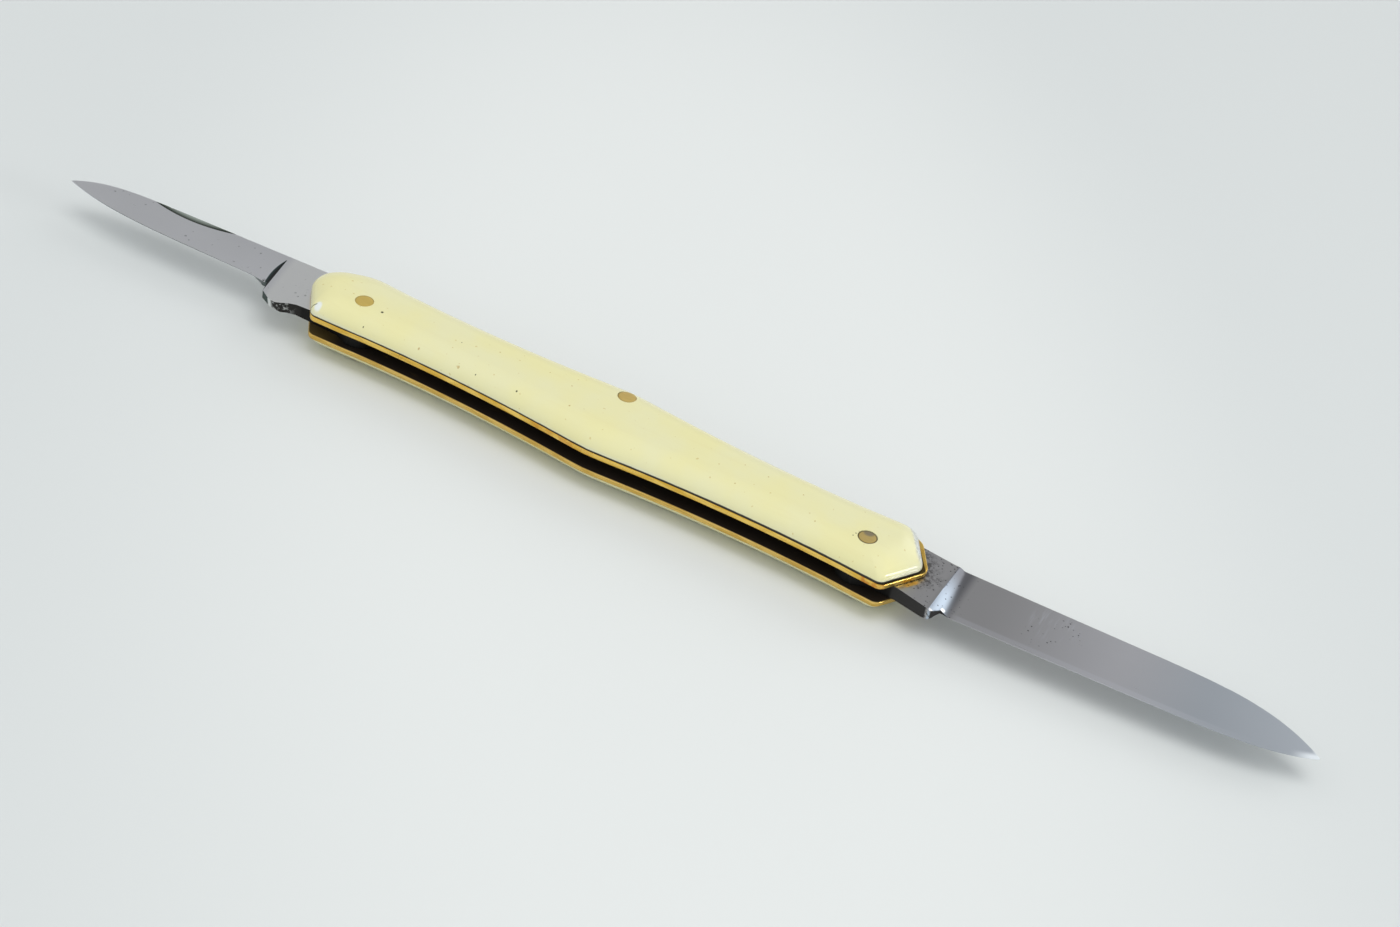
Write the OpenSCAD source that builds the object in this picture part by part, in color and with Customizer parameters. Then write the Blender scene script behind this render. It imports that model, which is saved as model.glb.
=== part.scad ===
// Double-ended folding pen knife: a large blade on the right, a small pen blade on the left.
// Both blades turn on rivets between two brass liners and share one back spring.
// X runs from the pen blade to the main blade, +Y is the spring side, +Z is up.
// The origin is at the middle of the underside of the handle, midway between the pivots.
// Blade shapes are drawn from their own pivot: u runs to the tip and v to the spine.

/* [Handle outline] */
// Distance from the middle of the handle to each pivot rivet
pivot_x = 28.7; // [27.5:0.1:30]
// Offset of the pivot rivets to the front of the centre line
pivot_drop = 1.27; // [1.0:0.01:1.5]
// Half width at the middle, where the flanks come to a soft peak
half_w_mid = 5.16; // [4.9:0.02:5.6]
// Half width where the flanks reach the ends
half_w_end = 4.4; // [4.3:0.02:4.8]
// How far the flanks sink below a straight line
flank_sink = 0.61; // [0:0.01:0.9]
// Length of one flank, from the middle to the start of the end
flank_len = 29; // [28:0.5:29.5]
// Reach of the blunt point past the main pivot
main_end_reach = 6.1; // [6:0.05:7]
// Reach of the blunt point past the pen pivot
pen_end_reach = 7.3; // [6.5:0.05:8]
// Offset of both points to the back of the centre line
point_rise = 0.45; // [0:0.05:0.8]
// Radius of the blunt points
point_r = 1.2; // [0.6:0.1:1.6]
// Radius of the corners at the front
front_corner_r = 0.9; // [0.5:0.1:1.3]
// Radius of the corner at the back of the main end
main_back_corner_r = 1.6; // [0.8:0.1:2]
// Radius of the corner at the back of the pen end
pen_back_corner_r = 3.4; // [0.8:0.1:3.6]

/* [Handle layers] */
// Thickness of each scale
scale_t = 2.1; // [1.8:0.05:2.6]
// Thickness of each liner
liner_t = 0.6; // [0.4:0.05:0.9]
// Width of the well between the liners
well_w = 1.6; // [1.5:0.05:2]
// Rim of the liner that shows round the front scale
front_inset = 0.15; // [0:0.01:0.3]
// Rim of the liner that shows round the back scale
back_inset = 0.4; // [0:0.02:0.4]
// How much further each scale stops short of its liner at the main end
scale_main_cut = 0.2; // [0:0.02:0.3]
// How much further each scale stops short of its liner at the pen end
scale_pen_cut = 0.05; // [0:0.01:0.3]
// Width of the rounding on the edge of a scale
round_w = 2.5; // [1.8:0.02:2.6]
// Height of the wall left under the rounding of a scale
scale_wall = 0.1; // [0.1:0.02:0.4]

/* [Rivets and fits] */
// Diameter of the pivot rivets
pivot_pin_d = 2.0; // [1.6:0.05:2.2]
// Diameter of the rivet that holds the spring
spring_pin_d = 2.0; // [1.6:0.05:2.2]
// Offset of the spring rivet to the back of the centre line
spring_pin_y = 2.71; // [2.5:0.01:2.9]
// Radial gap of a rivet in a fixed hole
tight_gap = 0.01; // [0.01:0.01:0.03]
// Radial gap of a pivot rivet in a blade
running_gap = 0.03; // [0.02:0.01:0.06]
// Gap between a tang and each liner
side_gap = 0.03; // [0.02:0.01:0.05]
// Gap between a tang and the spring
spring_gap = 0.06; // [0.04:0.01:0.1]

/* [Back spring] */
// Distance from a pivot to the end of the spring beyond it
spring_reach = 3.1; // [2.9:0.05:3.3]
// Inner edge of the spring between the pivots, from the centre line
spring_inner_y = 1.8; // [1.75:0.01:2]
// Length of the thick nose at each end of the spring
nose_len = 5.8; // [5.6:0.1:7]
// Wall of spring steel below its rivet
belly_wall = 0.8; // [0.6:0.05:1]
// Half width of the belly round the rivet
belly_half_w = 2.2; // [2:0.1:4]
// Run of each slope between the levels of the inner edge
spring_slope = 1.5; // [1:0.1:2]

/* [Tangs] */
// Radius of the round end of each tang, about the pivot
cam_r = 2.45; // [2.2:0.05:2.6]
// Depth of the main tang in front of its pivot
main_tang_front = 1.7; // [1.5:0.05:1.9]
// Depth of the pen tang in front of its pivot
pen_tang_front = 1.72; // [1.5:0.02:1.9]
// Height of the main tang's back where it meets the spring
main_tang_back = 5.7; // [5.4:0.05:5.8]
// Height of the pen tang's back where it meets the spring
pen_tang_back = 5.35; // [5.1:0.05:5.6]
// Length of the main tang, from its pivot
main_tang_len = 8.2; // [8:0.1:9]
// Length of the pen tang at the spine, from its pivot
pen_tang_len = 12.35; // [12:0.05:13]
// Depth of the main blade's kick in front of its pivot
main_kick = 2.6; // [2.4:0.05:2.65]
// Depth of the pen blade's kick in front of its pivot
pen_kick = 3.0; // [2.8:0.02:3.0]

/* [Main blade] */
// Distance from the pivot to the tip
main_len = 46.4; // [43:0.1:48]
// Height of the spine above the pivot at the tang
main_spine = 4.72; // [4.5:0.01:4.9]
// Depth of the edge below the pivot at the tang
main_edge = 2.2; // [1.9:0.02:2.3]
// Height of the tip above the pivot
main_tip_rise = 0.6; // [0:0.05:1.5]
// Angle by which the blade stands open past straight
main_cant = 3.6; // [2.8:0.1:4]
// Length of the ground curve between tang and blade
main_plunge = 1.7; // [0.8:0.1:2]
// Drop of the upper face for each millimetre of length, to pass the pen blade
main_fall = 0.028; // [0.026:0.001:0.03]
// Rise of the lower face for each millimetre of length
main_lower_rise = 0.0046; // [0.002:0.0002:0.006]

/* [Pen blade] */
// Distance from the pivot to the tip
pen_len = 37.6; // [34:0.1:38.5]
// Height of the spine above the pivot at the tang
pen_spine = 5.3; // [5.1:0.01:5.4]
// Height of the edge above the pivot at the tang
pen_edge_rise = 0.55; // [0.3:0.01:0.7]
// Height of the tip above the pivot
pen_tip_rise = 2.4; // [1.6:0.05:3]
// Angle by which the blade hangs below straight
pen_cant = 2.5; // [2:0.1:3]
// Height of the lower face at the tang's end, below the middle of the well
pen_lower_drop = 0.2; // [0.1:0.01:0.21]
// Rise of the lower face for each millimetre of length, to pass the main blade
pen_rise = 0.0278; // [0.026:0.0002:0.0285]
// Distance from the pivot where the lower face starts to slope
pen_slope_start = 4.5; // [4:0.1:6]

/* [Nail nicks] */
// Length of a nail nick along the blade
nick_len = 9.2; // [6:0.1:11]
// Width of a nail nick across the blade
nick_w = 0.7; // [0.4:0.05:1]
// Depth of a nail nick
nick_depth = 0.22; // [0.1:0.01:0.25]
// Distance from the pen pivot to the middle of its nick
pen_nick_u = 24.3; // [20:0.1:26]
// Distance from the main pivot to the middle of its nick
main_nick_u = 25; // [20:0.1:30]

/* [Hidden] */
$fn = 48;

// Levels of the layers, from the underside up
back_liner_z = scale_t;
well_z = back_liner_z + liner_t;
front_liner_z = well_z + well_w;
front_scale_z = front_liner_z + liner_t;
handle_t = front_scale_z + scale_t;
mid_z = well_z + well_w / 2;
half_tang = well_w / 2 - side_gap;

// Steps in the rounded shapes
flank_steps = 8;
corner_steps = 4;
round_steps = 5;
tip_steps = 14;

// Shape of the ends: where each chamfer starts past the flank, at the main and the pen end,
// how far the flank flares before it, and what the rounding takes off a point
front_chamfer_start = [3.1, 3.9];
back_chamfer_start = [3.6, 4.5];
corner_flare = 0.16;
point_cut = 0.17;
smallest_r = 0.5;

// Curves of the blades: slope of the spine and the edge, where each starts to bend to the tip,
// and how sharply it bends
main_spine_curve = [0.005, 26, 4];
main_edge_curve = [0.012, 20, 6];
pen_spine_curve = [-0.02, 14, 8];
pen_edge_curve = [0, 20, 3.35];

// Thickness of the ground edge, the length left blunt at the tip, how the blades thin to the
// tip, and the step that hides the start of a grind in its tang
edge_t = 0.06;
tip_flat = 0.05;
tip_thinning = 0.6;
weld = 0.02;
weld_len = 0.9;

// Length by which a form runs past the faces that cut it
overlap = 0.5;

// Where the main blade's upper face starts to fall, and the run of the pen tang's lower slope
main_fall_start = 9;
pen_slope_run = 6;

// Shape of the notch in front of the main blade's kick: its share of the plunge, and how far its
// corner lies above the edge
notch_at = 0.42;
notch_rise = 0.05;

// Lean of the pen tang's end, and the worn steps of its kick as distances from the tang's end
pen_end_lean = 1.4;
pen_kick_steps = [[1.35, 0.15], [2.25, 0], [2.75, 0.3], [3.35, 0.75], [4.15, 1.1], [5.55, 1.25]];
main_kick_steps = [[0.75, 0.2], [3.8, 0.9]];

// Half width of the handle at a distance from its middle
function half_w(x) =
    let (s = abs(x) / flank_len)
    half_w_mid + (half_w_end - half_w_mid) * s - flank_sink * 4 * s * (1 - s);

// Corners of one end, cut short by a length
function end_corners(dir, cut) =
    let (i = dir > 0 ? 0 : 1,
         reach = pivot_x + (dir > 0 ? main_end_reach : pen_end_reach) - cut,
         y = half_w_end + corner_flare,
         front = [[dir * (flank_len + front_chamfer_start[i] - cut), -y], front_corner_r],
         point = [[dir * (reach + point_cut * point_r), point_rise], point_r],
         back_r = dir > 0 ? main_back_corner_r : pen_back_corner_r,
         back = [[dir * (flank_len + back_chamfer_start[i] - cut), y], back_r])
    dir > 0 ? [front, point, back] : [back, point, front];

// Corners of one flank: side is -1 at the front and 1 at the back
function flank_corners(side) =
    [for (i = [-flank_steps : flank_steps])
        let (x = -side * flank_len * i / flank_steps)
        [[x, side * half_w(x)], 0]];

// Corners of the handle outline, counter-clockwise, each with its radius
function outline_corners(main_cut, pen_cut) =
    concat(flank_corners(-1), end_corners(1, main_cut), flank_corners(1), end_corners(-1, pen_cut));

function unit(a) = a / norm(a);
function turned(p, a) = [p[0] * cos(a) - p[1] * sin(a), p[0] * sin(a) + p[1] * cos(a)];
function ring_item(list, i) = list[(i + len(list)) % len(list)];

// Outline moved inwards by d, with its corner radii reduced to match
function inset_corners(corners, d) =
    [for (i = [0 : len(corners) - 1])
        let (p = corners[i][0],
             a = unit(p - ring_item(corners, i - 1)[0]),
             b = unit(ring_item(corners, i + 1)[0] - p),
             na = [-a[1], a[0]],
             nb = [-b[1], b[0]])
        [p + (na + nb) * d / (1 + na * nb), max(corners[i][1] - d, min(corners[i][1], smallest_r))]];

// Points of an outline with an arc at each corner that has a radius
function rounded(corners) =
    [for (i = [0 : len(corners) - 1])
        let (q = corners[i][0],
             r = corners[i][1],
             a = unit(ring_item(corners, i - 1)[0] - q),
             b = unit(ring_item(corners, i + 1)[0] - q),
             half = acos(max(-1, min(1, a * b))) / 2,
             c = r > 0 ? q + unit(a + b) * r / sin(half) : q,
             start = r > 0 ? q + a * r / tan(half) - c : [1, 0],
             a0 = atan2(start[1], start[0]),
             steps = r > 0 ? corner_steps : 0)
        for (k = [0 : steps])
            let (angle = a0 + (180 - 2 * half) * k / max(steps, 1))
            r > 0 ? c + r * [cos(angle), sin(angle)] : q];

liner_outline = rounded(outline_corners(0, 0));

// Closed solid through a list of rings with the same number of points: flat_sides gives one face
// to each side between two rings, and otherwise it gets two triangles
module ring_solid(rings, flat_sides = false) {
    n = len(rings[0]);
    last = len(rings) - 1;
    sides = [for (j = [0 : last - 1], i = [0 : n - 1])
        let (k = (i + 1) % n, a = j * n + i, b = (j + 1) * n + i, c = (j + 1) * n + k, d = j * n + k)
        each flat_sides ? [[a, b, c, d]] : [[a, c, d], [a, b, c]]];
    bottom = [for (i = [0 : n - 1]) i];
    top = [for (i = [n - 1 : -1 : 0]) last * n + i];
    polyhedron([for (ring = rings) each ring], concat([bottom, top], sides), convexity = 6);
}

// Bores for the three rivets through a layer that starts at z
module rivet_bores(z, h) {
    for (dir = [-1, 1])
        translate([dir * pivot_x, -pivot_drop, z - 1])
            cylinder(d = pivot_pin_d + 2 * tight_gap, h = h + 2);
    translate([0, spring_pin_y, z - 1])
        cylinder(d = spring_pin_d + 2 * tight_gap, h = h + 2);
}

// Outline of a scale at height z, moved inwards from its liner by d
function level(z, d) =
    [for (p = rounded(inset_corners(outline_corners(scale_main_cut, scale_pen_cut), d)))
        [p[0], p[1], z]];

// Heights above the liner and insets of the levels of a rounded scale
scale_levels = [for (k = [0 : round_steps])
    let (a = 90 * k / round_steps)
    [scale_wall + (scale_t - scale_wall) * sin(a), round_w * (1 - cos(a))]];

// Scale that rises from a liner's face at height z where dir is 1, and hangs from it where it is -1.
// Its form runs past both of its flat faces and is cut to them.
module scale_solid(z, dir, inset) {
    n = len(scale_levels);
    past = 2 * scale_levels[n - 1] - scale_levels[n - 2];
    rings = [for (l = concat([[-overlap, 0]], scale_levels, [past])) level(z + dir * l[0], inset + l[1])];
    low = min(z, z + dir * scale_t);
    color([0.9, 0.88, 0.68])
        difference() {
            intersection() {
                ring_solid(dir > 0 ? rings : [for (i = [n + 1 : -1 : 0]) rings[i]], true);
                translate([-2 * flank_len, -2 * half_w_mid, low])
                    cube([4 * flank_len, 4 * half_w_mid, scale_t]);
            }
            rivet_bores(low, scale_t);
        }
}

module front_scale() {
    scale_solid(front_scale_z, 1, front_inset);
}

module back_scale() {
    scale_solid(scale_t, -1, back_inset);
}

module liner(z) {
    color([0.83, 0.66, 0.28])
        difference() {
            translate([0, 0, z])
                linear_extrude(liner_t)
                    polygon(liner_outline);
            rivet_bores(z, liner_t);
        }
}

module front_liner() {
    liner(front_liner_z);
}

module back_liner() {
    liner(back_liner_z);
}

// Spring: follows the back of the handle, thick at its noses and round its rivet
module back_spring() {
    end_x = pivot_x + spring_reach;
    nose_x = end_x - nose_len;
    nose_y = -pivot_drop + cam_r + spring_gap;
    belly_y = spring_pin_y - spring_pin_d / 2 - belly_wall;
    inner = [[end_x, nose_y], [nose_x, nose_y], [nose_x - spring_slope, spring_inner_y],
             [belly_half_w + spring_slope, spring_inner_y], [belly_half_w, belly_y]];
    mirrored = [for (i = [len(inner) - 1 : -1 : 0]) [-inner[i][0], inner[i][1]]];
    top_y = 2 * half_w_mid;
    color([0.45, 0.45, 0.47])
        difference() {
            translate([0, 0, well_z])
                linear_extrude(well_w)
                    intersection() {
                        polygon(liner_outline);
                        polygon(concat([[end_x, top_y]], inner, mirrored, [[-end_x, top_y]]));
                    }
            rivet_bores(well_z, well_w);
        }
}

// Height above the pivot of a blade's spine or edge at a distance u from the pivot
function curve_v(u, base, start_u, curve, len_u, tip_v) =
    let (s = max(0, (u - curve[1]) / (len_u - curve[1])),
         end_v = base + curve[0] * (len_u - start_u))
    base + curve[0] * (u - start_u) + (tip_v - end_v) * pow(s, curve[2]);

// One cross-section of a blade: g is 0 for the full thickness and 1 for a ground edge
function blade_ring(spine, edge, z_high, z_low, g) =
    let (z_mean = (z_high + z_low) / 2,
         half = (1 - g) * (z_high - z_mean) + g * edge_t / 2)
    [[edge[0], edge[1], z_mean - half], [spine[0], spine[1], z_low],
     [spine[0], spine[1], z_high], [edge[0], edge[1], z_mean + half]];

// Distances from the pivot for the cross-sections, closer together near the tip
function blade_stations(from, to) =
    [for (k = [0 : tip_steps]) from + (to - from) * (1 - pow(1 - k / tip_steps, 1.7))];

// Share of its thickness that a blade keeps where it narrows to the tip
function tip_share(width, full_width) = pow(min(1, width / full_width), tip_thinning);

// Crescent pocket open at the spine, seen from the side that is up
module nick_cut(u, spine_v, z_floor, h) {
    r = nick_len * nick_len / (8 * nick_w) + nick_w / 2;
    translate([u, spine_v + r - nick_w, z_floor])
        cylinder(r = r, h = h);
}

function main_high(u) = half_tang - main_fall * max(0, u - main_fall_start);
function main_low(u) = -half_tang + main_lower_rise * max(0, u - main_fall_start);
function main_spine_v(u) =
    curve_v(u, main_spine, main_tang_len, main_spine_curve, main_len, main_tip_rise);
function main_edge_v(u) =
    curve_v(u, -main_edge, main_tang_len, main_edge_curve, main_len, main_tip_rise);

// Depth of the kick in line with the blade
main_kick_v = -(main_kick + main_tang_len * sin(main_cant)) / cos(main_cant);

// Main blade in front of its tang, in line with itself
module main_ground() {
    plunge_u = main_tang_len + 0.1;
    ground_u = plunge_u + main_plunge;
    notch_u = plunge_u + notch_at * main_plunge;
    root = blade_ring([plunge_u - weld_len, main_spine - weld],
                      [plunge_u - weld_len, main_kick_v / 2], half_tang - weld, weld - half_tang, 0);
    kick = [for (u = [main_tang_len - weld, plunge_u])
        blade_ring([u, main_spine - weld], [u, main_kick_v + weld],
                   half_tang - weld, weld - half_tang, 0)];
    notch = blade_ring([notch_u, main_spine_v(notch_u)], [notch_u, notch_rise - main_edge],
                       half_tang - weld, weld - half_tang, notch_at);
    body = [for (u = blade_stations(ground_u, main_len - tip_flat))
        let (spine = main_spine_v(u),
             edge = main_edge_v(u),
             z_mean = (main_high(u) + main_low(u)) / 2,
             half = (main_high(u) - z_mean) * tip_share(spine - edge, main_spine + main_edge))
        blade_ring([u, spine], [u, edge], z_mean + half, z_mean - half, 1)];
    difference() {
        ring_solid(concat([root], kick, [notch], body));
        nick_cut(main_nick_u, main_spine_v(main_nick_u),
                 main_low(main_nick_u) + nick_depth - well_w, well_w);
    }
}

module main_blade() {
    shoulder_u = spring_reach + spring_gap;
    end_spine = turned([main_tang_len, main_spine], main_cant);
    end_kick = turned([main_tang_len, main_kick_v], main_cant);
    outline = concat(
        [[0, cam_r], [shoulder_u, cam_r], [shoulder_u, main_tang_back], end_spine, end_kick],
        [for (p = main_kick_steps) end_kick + [-p[0], p[1]]],
        [[0, -main_tang_front]]);
    color([0.62, 0.63, 0.66])
        translate([pivot_x, -pivot_drop, mid_z])
            difference() {
                union() {
                    translate([0, 0, -half_tang])
                        linear_extrude(2 * half_tang)
                            union() {
                                circle(r = cam_r);
                                polygon(outline);
                            }
                    rotate([0, 0, main_cant])
                        main_ground();
                }
                translate([0, 0, -well_w])
                    cylinder(d = pivot_pin_d + 2 * running_gap, h = 2 * well_w);
            }
}

function pen_low(u) =
    let (s = (u - pen_slope_start) / pen_slope_run)
    s < 0 ? -half_tang
    : s < 1 ? -half_tang + (half_tang - pen_lower_drop) * s
    : -pen_lower_drop + pen_rise * (u - pen_slope_start - pen_slope_run);
function pen_spine_v(u) =
    curve_v(u, pen_spine, pen_tang_len, pen_spine_curve, pen_len, pen_tip_rise);
function pen_edge_v(u) =
    curve_v(u, pen_edge_rise, pen_tang_len, pen_edge_curve, pen_len, pen_tip_rise);

// Pen blade in front of its tang, in line with itself
module pen_ground() {
    root_u = [pen_tang_len - weld_len, pen_tang_len - pen_end_lean - weld_len];
    root = blade_ring([root_u[0], pen_spine_v(root_u[0]) - weld], [root_u[1], pen_edge_rise],
                      half_tang - weld, pen_low(root_u[0]) + weld, 1);
    body = [for (u = blade_stations(pen_tang_len + weld_len, pen_len - tip_flat))
        let (spine = pen_spine_v(u),
             edge = pen_edge_v(u),
             share = tip_share(spine - edge, pen_spine - pen_edge_rise))
        blade_ring([u, spine], [u, edge], half_tang,
                   half_tang - (half_tang - pen_low(u)) * share, 1)];
    difference() {
        ring_solid(concat([root], body));
        nick_cut(pen_nick_u, pen_spine_v(pen_nick_u), half_tang - nick_depth, well_w);
    }
}

module pen_blade() {
    c = pen_cant;
    spine_end = pen_spine * cos(c) - pen_tang_len * sin(c);
    shoulder_u = spring_reach + spring_gap;
    outline = concat(
        [[0, cam_r], [shoulder_u, cam_r], [shoulder_u, pen_tang_back],
         [pen_tang_len, spine_end], [pen_tang_len - pen_end_lean, -pen_kick + 0.9]],
        [for (p = pen_kick_steps) [pen_tang_len - pen_end_lean - p[0], -pen_kick + p[1]]],
        [[0, -pen_tang_front]]);
    slope_end = pen_slope_start + pen_slope_run;
    side = [[-cam_r - 1, -half_tang], [pen_slope_start, -half_tang], [slope_end, -pen_lower_drop],
            [pen_len, pen_low(pen_len)], [pen_len, half_tang], [-cam_r - 1, half_tang]];
    color([0.62, 0.63, 0.66])
        translate([-pivot_x, -pivot_drop, mid_z])
            mirror([1, 0, 0])
                difference() {
                    union() {
                        intersection() {
                            translate([0, 0, -half_tang])
                                linear_extrude(2 * half_tang)
                                    union() {
                                        circle(r = cam_r);
                                        polygon(outline);
                                    }
                            translate([0, pen_len / 2, 0])
                                rotate([90, 0, 0])
                                    linear_extrude(pen_len)
                                        polygon(side);
                        }
                        rotate([0, 0, -c])
                            pen_ground();
                    }
                    translate([0, 0, -well_w])
                        cylinder(d = pivot_pin_d + 2 * running_gap, h = 2 * well_w);
                }
}

// Half of the handle's cross-section at x, on the side given, from the middle out to the flat
function section_half(x, side, z, dir, inset) =
    [for (l = concat([[0, 0]], scale_levels)) [side * (half_w(x) - inset - l[1]), z + dir * l[0]]];

// Rivet through the handle, with its heads dressed flush with the rounded scales
module rivet(x, y, d) {
    function back_first(list) = [for (i = [len(list) - 1 : -1 : 0]) list[i]];
    color([0.74, 0.62, 0.35])
        intersection() {
            translate([x, y, -1])
                cylinder(d = d, h = handle_t + 2);
            translate([x - d, 0, 0])
                rotate([90, 0, 90])
                    linear_extrude(2 * d)
                        polygon(concat(
                            section_half(x, 1, front_scale_z, 1, front_inset),
                            back_first(section_half(x, -1, front_scale_z, 1, front_inset)),
                            section_half(x, -1, scale_t, -1, back_inset),
                            back_first(section_half(x, 1, scale_t, -1, back_inset))));
        }
}

module main_pivot_pin() {
    rivet(pivot_x, -pivot_drop, pivot_pin_d);
}

module pen_pivot_pin() {
    rivet(-pivot_x, -pivot_drop, pivot_pin_d);
}

module spring_pin() {
    rivet(0, spring_pin_y, spring_pin_d);
}

front_scale();
back_scale();
front_liner();
back_liner();
back_spring();
main_blade();
pen_blade();
main_pivot_pin();
pen_pivot_pin();
spring_pin();
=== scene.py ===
"""Looks of the double-ended folding pen knife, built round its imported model.

Shapes are worked out in millimetres in the row frame and scaled to metres at the end: X runs from
the pen blade to the main blade, +Y is the spring side and +Z is up. Each blade is drawn from its
own pivot, as in the part's source: u runs to the tip and v to the spine.
"""

import math

import bmesh
import bpy
from mathutils import Matrix, Vector


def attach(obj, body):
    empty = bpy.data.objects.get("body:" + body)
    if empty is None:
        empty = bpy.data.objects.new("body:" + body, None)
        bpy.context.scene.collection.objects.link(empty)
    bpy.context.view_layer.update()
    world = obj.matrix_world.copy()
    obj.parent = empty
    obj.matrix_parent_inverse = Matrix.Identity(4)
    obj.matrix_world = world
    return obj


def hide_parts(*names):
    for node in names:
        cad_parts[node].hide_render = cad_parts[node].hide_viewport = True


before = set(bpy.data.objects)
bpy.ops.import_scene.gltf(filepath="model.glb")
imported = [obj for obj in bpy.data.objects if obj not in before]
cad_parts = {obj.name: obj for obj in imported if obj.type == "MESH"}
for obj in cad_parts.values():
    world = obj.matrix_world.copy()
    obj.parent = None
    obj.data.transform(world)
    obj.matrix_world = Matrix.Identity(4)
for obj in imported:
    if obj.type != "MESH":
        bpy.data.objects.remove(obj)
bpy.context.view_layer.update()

MM = 0.001
# Places and heights closer than this, in millimetres, are the same
SAME = 1e-4
# Edges sharper than this, in degrees, stay sharp where a piece is shaded smooth
SHARP_ANGLE = 32

# ---------------------------------------------------------------- sizes, in millimetres
# Handle: sunk flanks from its middle to both ends, and a soft peak where they meet
FLANK_LEN = 29.0
HALF_W_MID, HALF_W_END, FLANK_SINK = 5.16, 4.4, 0.61
PEAK_SOFTNESS = 1.0
# Corners of the two ends, counter-clockwise: x, y, radius at the rim and at the flat of a scale
MAIN_END = [(32.1, -4.56, 0.9, 2.6), (35.0, 0.45, 1.2, 2.4), (32.6, 4.56, 1.6, 2.4)]
PEN_END = [(-31.3, 4.41, 6.0, 5.0), (-34.6, 2.95, 4.0, 3.0), (-36.2, 0.45, 2.4, 2.6),
           (-32.9, -4.56, 0.9, 2.6)]
CORNER_STEPS = 8
# Most of a side that the roundings at its two ends may take
CORNER_ROOM = 0.94

# Layers, from the back scale's flat face at the floor upwards
SCALE_T, LINER_T, WELL_W = 2.1, 0.6, 1.6
BACK_LINER_Z = SCALE_T
WELL_Z = BACK_LINER_Z + LINER_T
FRONT_LINER_Z = WELL_Z + WELL_W
FRONT_SCALE_Z = FRONT_LINER_Z + LINER_T
HANDLE_T = FRONT_SCALE_Z + SCALE_T
MID_Z = WELL_Z + WELL_W / 2
HALF_TANG = 0.77

# How far a scale's corners stand back from the liner's at the main end and the pen end
SCALE_CUTS = (0.1, 0.0)
# Upright wall of a scale at its liner, and the steps of the rounding above it
SCALE_WALL, ROUND_STEPS = 0.1, 14
# Rim left round each scale, and the width of its rounding: at the flanks, the front and back
# chamfer of the main end, and the back and front of the pen end
FRONT_INSETS, FRONT_ROUND = (0.12, 0.12, 0.55, 0.02, 0.02), (2.5, 3.4, 2.4, 3.2, 2.5)
BACK_INSETS, BACK_ROUND = (0.7, 0.6, 0.6, 0.3, 0.3), (3.4, 2.4, 2.4, 2.4, 2.4)
# Sides of the outline that aren't flanks, and their place in the lists above
END_SIDES = {3: 1, 4: 2, 9: 3, 10: 3, 11: 4}
# Points added along each half flank of a scale and of a liner
SCALE_FLANK_CUTS, LINER_FLANK_CUTS = 11, 19
LINER_EDGE_ROUND, STEEL_EDGE_ROUND = 0.14, 0.05

# Rivets, and the bores that they pass through
PIVOT_X, PIVOT_Y = 28.7, -1.27
SPRING_PIN_Y = 2.71
PIN_R, LINER_BORE_R, BLADE_BORE_R = 0.96, 1.01, 1.03
# Rivet heads: rings towards the middle, depth and width of the worn edge, and how much of the
# head follows the scale's rounding, the rest being flat
HEAD_RINGS = (0.03, 0.05, 0.25, 0.3)
HEAD_WEAR, HEAD_WEAR_WIDTH = 0.05, 0.08
HEAD_ROUND = 0.35

# Spring: its ends, its rise to the main end's corner, and where it turns in at the pen end
SPRING_END_X = 31.8
SPRING_RISE, SPRING_RISE_LEN = 0.16, 3.6
SPRING_CURVE_X, SPRING_CURVE_R = 30.03, 6.0
# Inner side of half the spring, from its end to the boss of its rivet
SPRING_INNER = [(31.8, 1.24), (26.0, 1.24), (24.5, 1.8), (3.7, 1.8), (2.2, 0.91)]
SPRING_CORNER_R, SPRING_CUTS = 1.2, 53

# Main blade: its length, cant and flat tang, its spine and edge at the tang, its tip, and the
# width below which it thins
MAIN_LEN, MAIN_CANT, MAIN_TANG = 46.4, 3.6, 8.2
MAIN_SPINE, MAIN_EDGE, MAIN_TIP = 4.715, -2.2, 0.6
MAIN_FULL_W = 6.92
# Per millimetre past MAIN_TAPER_U, how far its top and its middle sink and its lower face rises
MAIN_TAPER_U, MAIN_TOP_TAPER, MAIN_MEAN_TAPER, MAIN_LOW_TAPER = 9, 0.0227, 0.0117, 0.0046
# Plunge: where it starts, its length at the pivot's height, its lean, the step down that it
# makes and how quickly it starts
PLUNGE_U, PLUNGE_LEN, PLUNGE_LEAN, PLUNGE_STEP, PLUNGE_CURVE = 8.22, 1.71, 0.162, 0.27, 2.4

# Pen blade: the same sizes, and the drop of its edge at the heel
PEN_LEN, PEN_CANT, PEN_TANG = 37.6, 2.5, 12.35
PEN_SPINE, PEN_EDGE, PEN_TIP = 5.3, 0.55, 2.4
PEN_HEEL_U, PEN_HEEL_LEN, PEN_HEEL_DROP = 14.5, 3.2, 0.5
# Lower face of its tang: where it starts to rise, over what length, how far below the middle it
# ends, and its rise per millimetre past PEN_TAPER_U
PEN_RISE_U, PEN_RISE_LEN, PEN_TANG_LOW, PEN_TAPER_U, PEN_LOW_TAPER = 4.5, 6, 0.2, 10.5, 0.0278
# The plunge line leans by PEN_LEAN and passes the pivot at PEN_LINE. The dark leaf beside it
# starts at PEN_LEAF_V, is PEN_LEAF high, and has its least width, its foot and its bulge
PEN_LEAN, PEN_LINE = -11.91, 11.02
PEN_LEAF_V, PEN_LEAF = -1.9, 6.0
LEAF_LEAST, LEAF_FOOT, LEAF_BULGE = 0.04, 0.3, 2.3
PEN_UNDER_PLUNGE = 0.9

# Both tangs: the round behind the pivot, and where the spine starts in front of it
TANG_R, TANG_STEP_U = 2.45, 3.16
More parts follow.
